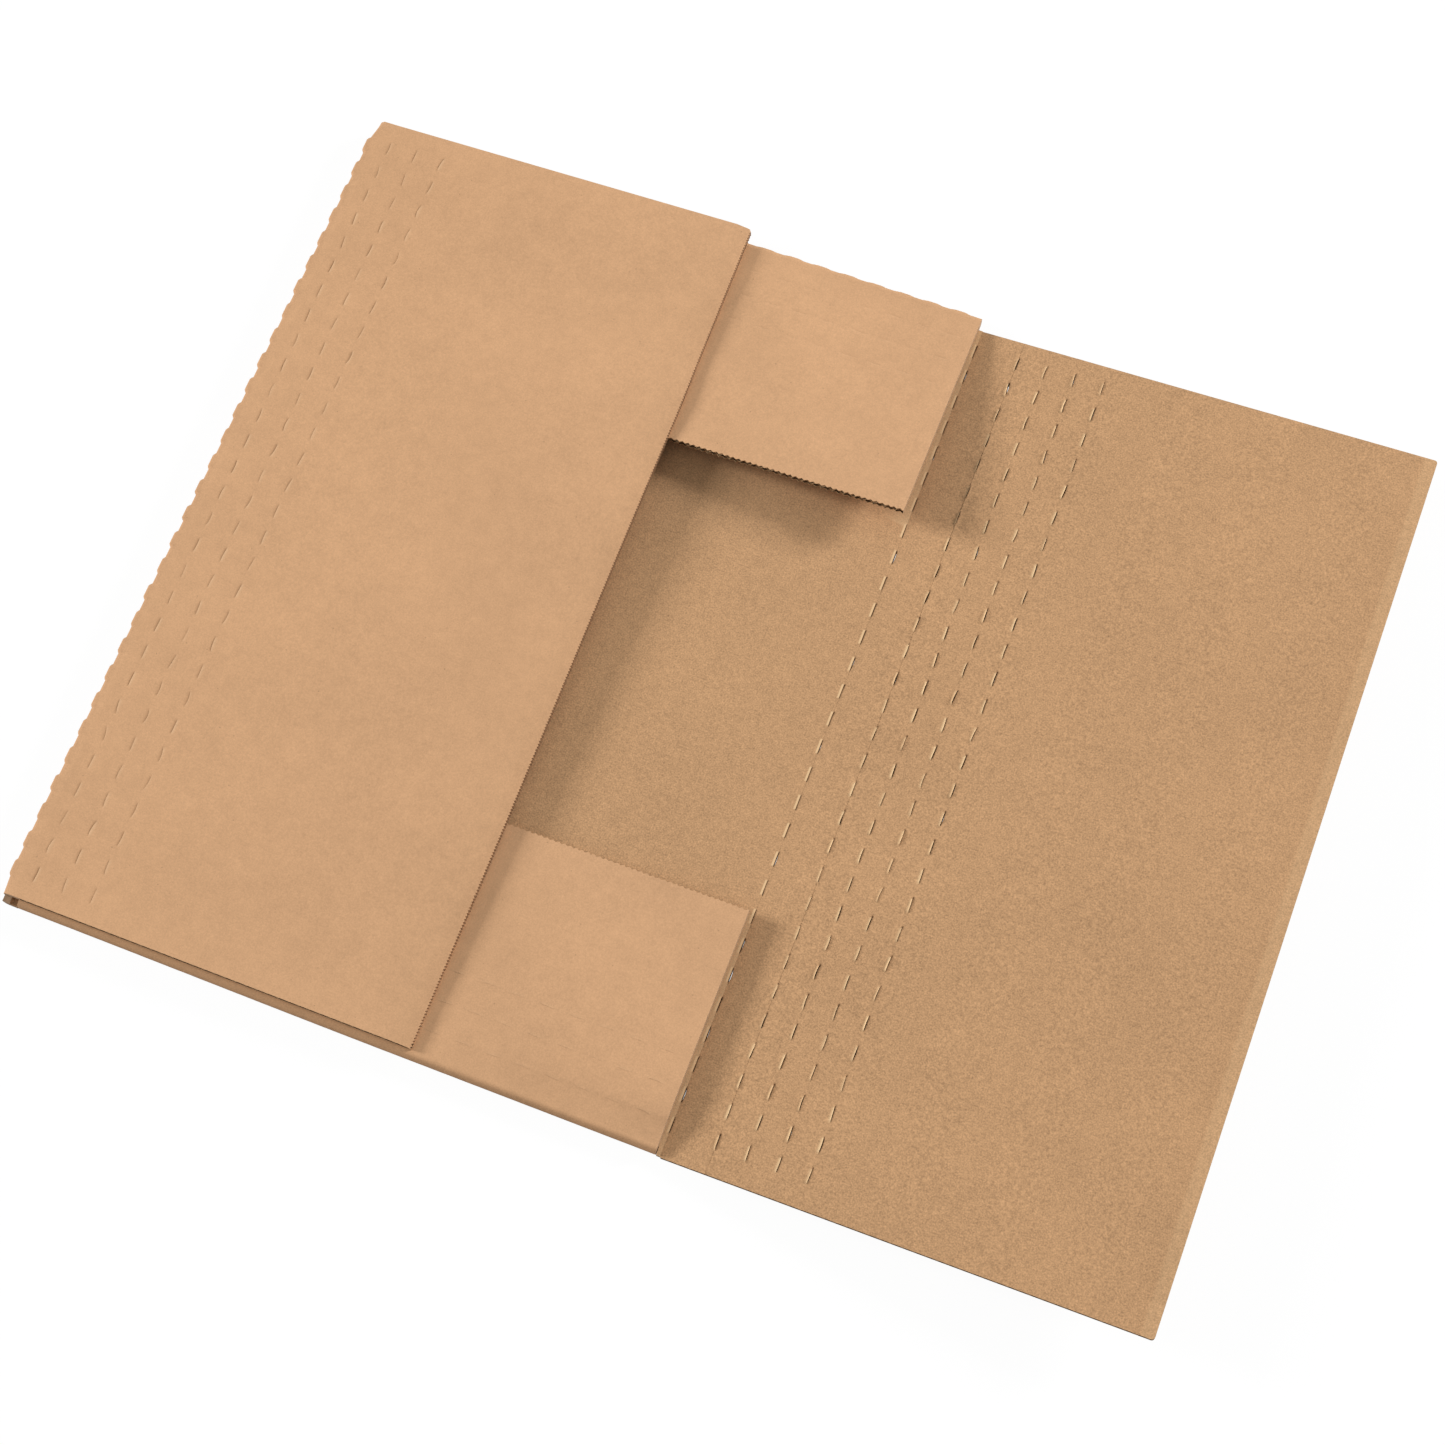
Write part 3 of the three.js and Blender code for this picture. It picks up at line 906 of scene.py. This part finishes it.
def kraft(name, colour, grain, mottle, seed, fibre_and_light_colour, shade_colour):
    """Kraft liner paper: soft clouds, fibre mottle, fine grain, dark specks, and the lip attribute's tints,
    which paint light and shade on perforation lips and folds.
    """
    material = bpy.data.materials.new(name)
    material.use_nodes = True
    tree = material.node_tree
    link = tree.links.new
    shader = tree.nodes["Principled BSDF"]
    shader.inputs["Roughness"].default_value = PAPER_ROUGHNESS
    shader.inputs["Specular IOR Level"].default_value = PAPER_SPECULAR
    place = node(tree, "ShaderNodeTexCoord")
    move = node(tree, "ShaderNodeMapping")
    move.inputs["Location"].default_value = (seed, seed * SEED_TURN, 0)
    move.inputs["Scale"].default_value = FIBRE_STRETCH
    link(place.outputs["Object"], move.inputs["Vector"])
    noises = (CLOUDS, MOTTLE, FIBRES, GRAIN)
    sizes = [(scale, detail, m * mottle + g * grain) for scale, detail, m, g in noises]
    value = varied(tree, move.outputs[0], sizes)
    cells = node(tree, "ShaderNodeTexVoronoi", Scale=SPECK_SCALE)
    link(move.outputs[0], cells.inputs["Vector"])
    specks = maths(tree, "LESS_THAN", cells.outputs["Distance"], SPECK_SIZE)
    specks = maths(tree, "MULTIPLY", specks, SPECK_DEPTH)
    level = maths(tree, "SUBTRACT", maths(tree, "ADD", value, 1.0), specks)
    tone = node(tree, "ShaderNodeVectorMath", operation="SCALE")
    tone.inputs[0].default_value = colour
    link(level, tone.inputs["Scale"])
    lip = node(tree, "ShaderNodeAttribute", attribute_name="lip")
    bright = maths(tree, "MULTIPLY", lip.outputs["Fac"], FIBRE_AND_PAINTED_LIGHT_STRENGTH, clamp=True)
    dark = maths(tree, "MULTIPLY", lip.outputs["Fac"], SHADE_STRENGTH, clamp=True)
    lit = tinted(tree, bright, tone.outputs[0], fibre_and_light_colour)
    link(tinted(tree, dark, lit, shade_colour), shader.inputs["Base Color"])
    bump = node(tree, "ShaderNodeBump", Strength=BUMP_STRENGTH, Distance=BUMP_HEIGHT)
    link(value, bump.inputs["Height"])
    link(bump.outputs[0], shader.inputs["Normal"])
    return material


def srgb(r, g, b):
    """A colour's linear values from its screen values."""
    return tuple(((c / 255 + 0.055) / 1.055) ** 2.4 for c in (r, g, b))


# Stage

# Light on level ground, as shares of what shows white paper as white
SKY_LEVEL = 0.35
LEFT_LIGHT = {"toward": -95, "height": 21, "width": 1.0, "share": 0.30}
BACK_LIGHT = {"toward": 52, "height": 22, "width": 0.8, "share": 0.35}
LIGHT_DISTANCE = 4.0
WHITE = (1, 1, 1, 1)

# The floor's half width and drop in metres, its own paper, and how much of what is seen of it glows
FLOOR_HALF = 6.0
FLOOR_Z = -0.0003
FLOOR_COLOUR = (0.86, 0.86, 0.86, 1)
FLOOR_ROUGHNESS = 0.9
FLOOR_GLOW = (1.02, 1.02, 1.02, 1)
FLOOR_GLOW_SHARE = 0.93

# The camera that took the photograph, in millimetres, metres and degrees
CAMERA_LENS = 62.834
CAMERA_SENSOR = 36
CAMERA_PLACE = (0.14031, -0.31968, 0.97905)
CAMERA_TURN = (18.7587, 1.2303, 21.0562)


def make_light(name, light):
    """A square soft light. toward is its heading from +Y, height its angle above the floor, in degrees."""
    heading, height = math.radians(light["toward"]), math.radians(light["height"])
    level = math.cos(height)
    way = Vector((math.sin(heading) * level, math.cos(heading) * level, math.sin(height)))
    data = bpy.data.lights.new(name, "AREA")
    data.shape, data.size = "SQUARE", light["width"]
    data.energy = light["share"] * (math.pi * LIGHT_DISTANCE) ** 2 / math.sin(height)
    obj = bpy.data.objects.new(name, data)
    obj.location = way * LIGHT_DISTANCE
    obj.rotation_euler = way.to_track_quat("Z", "Y").to_euler()
    bpy.context.scene.collection.objects.link(obj)


def make_world():
    """White where the camera sees it, and a dimmer sky that lights the part."""
    world = bpy.data.worlds.new("studio")
    world.use_nodes = True
    tree = world.node_tree
    tree.nodes.clear()
    rays = node(tree, "ShaderNodeLightPath")
    seen = node(tree, "ShaderNodeBackground", Strength=1.0)
    seen.inputs["Color"].default_value = WHITE
    lit = node(tree, "ShaderNodeBackground", Strength=SKY_LEVEL)
    lit.inputs["Color"].default_value = WHITE
    mix = node(tree, "ShaderNodeMixShader")
    out = node(tree, "ShaderNodeOutputWorld")
    tree.links.new(rays.outputs["Is Camera Ray"], mix.inputs[0])
    tree.links.new(lit.outputs[0], mix.inputs[1])
    tree.links.new(seen.outputs[0], mix.inputs[2])
    tree.links.new(mix.outputs[0], out.inputs["Surface"])
    bpy.context.scene.world = world


def floor_material():
    """White paper that mostly glows where the camera sees it, so that only faint shadows are left."""
    material = bpy.data.materials.new("floor_white")
    material.use_nodes = True
    tree = material.node_tree
    shader = tree.nodes["Principled BSDF"]
    shader.inputs["Base Color"].default_value = FLOOR_COLOUR
    shader.inputs["Roughness"].default_value = FLOOR_ROUGHNESS
    rays = node(tree, "ShaderNodeLightPath")
    share = maths(tree, "MULTIPLY", rays.outputs["Is Camera Ray"], FLOOR_GLOW_SHARE)
    glow = node(tree, "ShaderNodeEmission", Strength=1.0)
    glow.inputs["Color"].default_value = FLOOR_GLOW
    mix = node(tree, "ShaderNodeMixShader")
    tree.links.new(share, mix.inputs[0])
    tree.links.new(shader.outputs[0], mix.inputs[1])
    tree.links.new(glow.outputs[0], mix.inputs[2])
    tree.links.new(mix.outputs[0], tree.nodes["Material Output"].inputs["Surface"])
    return material


def make_floor():
    mesh = bpy.data.meshes.new("floor")
    s, z = FLOOR_HALF, FLOOR_Z
    mesh.from_pydata([(-s, -s, z), (s, -s, z), (s, s, z), (-s, s, z)], [], [(0, 1, 2, 3)])
    mesh.materials.append(floor_material())
    floor = bpy.data.objects.new("floor", mesh)
    bpy.context.scene.collection.objects.link(floor)


def make_camera():
    data = bpy.data.cameras.new("camera")
    data.lens = CAMERA_LENS
    data.sensor_width = CAMERA_SENSOR
    camera = bpy.data.objects.new("camera", data)
    camera.location = CAMERA_PLACE
    camera.rotation_euler = [math.radians(a) for a in CAMERA_TURN]
    bpy.context.scene.collection.objects.link(camera)
    bpy.context.scene.camera = camera


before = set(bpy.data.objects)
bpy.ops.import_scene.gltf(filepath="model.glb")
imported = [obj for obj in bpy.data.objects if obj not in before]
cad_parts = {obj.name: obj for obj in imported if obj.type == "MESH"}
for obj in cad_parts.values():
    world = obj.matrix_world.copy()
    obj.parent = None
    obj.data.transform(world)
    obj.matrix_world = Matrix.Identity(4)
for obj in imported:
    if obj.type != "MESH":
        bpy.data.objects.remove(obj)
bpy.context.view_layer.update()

make_camera()
make_world()
make_light("left_soft", LEFT_LIGHT)
make_light("back_right_soft", BACK_LIGHT)
make_floor()

# Colours of the tints: a cream of paler cut fibre and painted light, a pale one of painted light, and two of
# painted shade
CREAM_FIBRE_AND_PAINTED_LIGHT = srgb(244, 208, 160)
PAINTED_LIGHT_PALE = srgb(232, 196, 156)
SLIT_SHADE = srgb(96, 66, 40)
OUTER_SHADE = srgb(130, 92, 60)
inner = kraft("kraft_inside", srgb(193, 151, 110), 0.2, 0.05, 3.0, CREAM_FIBRE_AND_PAINTED_LIGHT, SLIT_SHADE)
outer = kraft("kraft_outside", srgb(208, 163, 122), 0.07, 0.05, 8.0, PAINTED_LIGHT_PALE, OUTER_SHADE)
# The open flutes' recesses are dark brown, which is painted shade
edge = kraft("kraft_flute_painted_shade", srgb(98, 72, 46), 0.1, 0.05, 5.0, CREAM_FIBRE_AND_PAINTED_LIGHT, SLIT_SHADE)
cut_paper = kraft("kraft_cut_paper", srgb(196, 160, 120), 0.1, 0.05, 6.0, CREAM_FIBRE_AND_PAINTED_LIGHT, SLIT_SHADE)
side_paper = kraft("kraft_side", srgb(172, 141, 112), 0.1, 0.05, 7.0, CREAM_FIBRE_AND_PAINTED_LIGHT, SLIT_SHADE)
INSIDE_UP = (inner, outer, edge, cut_paper, side_paper)
OUTSIDE_UP = (outer, inner, edge, cut_paper, side_paper)

NOTCH = HINGE_GAP / 2
first_score = RIGHT_SCORES[0]
wall = make_right("right_wall_board", NOTCH, first_score - NOTCH, [0.0, first_score], 31, INSIDE_UP)
cover = make_right("right_cover_board", first_score + NOTCH, RIGHT_FLAP_WIDTH, RIGHT_SCORES, 32, INSIDE_UP)
pieces = [
    (make_base(INSIDE_UP), "panel", "base", "kraft_inner"),
    (make_left(OUTSIDE_UP), "left_flap", "left_flap", "kraft_outer"),
    (wall, "right_wall", "right_wall", "kraft_inner"),
    (cover, "right_cover", "right_cover", "kraft_inner"),
]
for piece, body, cad_node, slot in pieces:
    if body == "left_flap":
        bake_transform(piece)
    else:
        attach(piece, body)
    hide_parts(cad_node)

bpy.context.scene.view_settings.view_transform = "Standard"
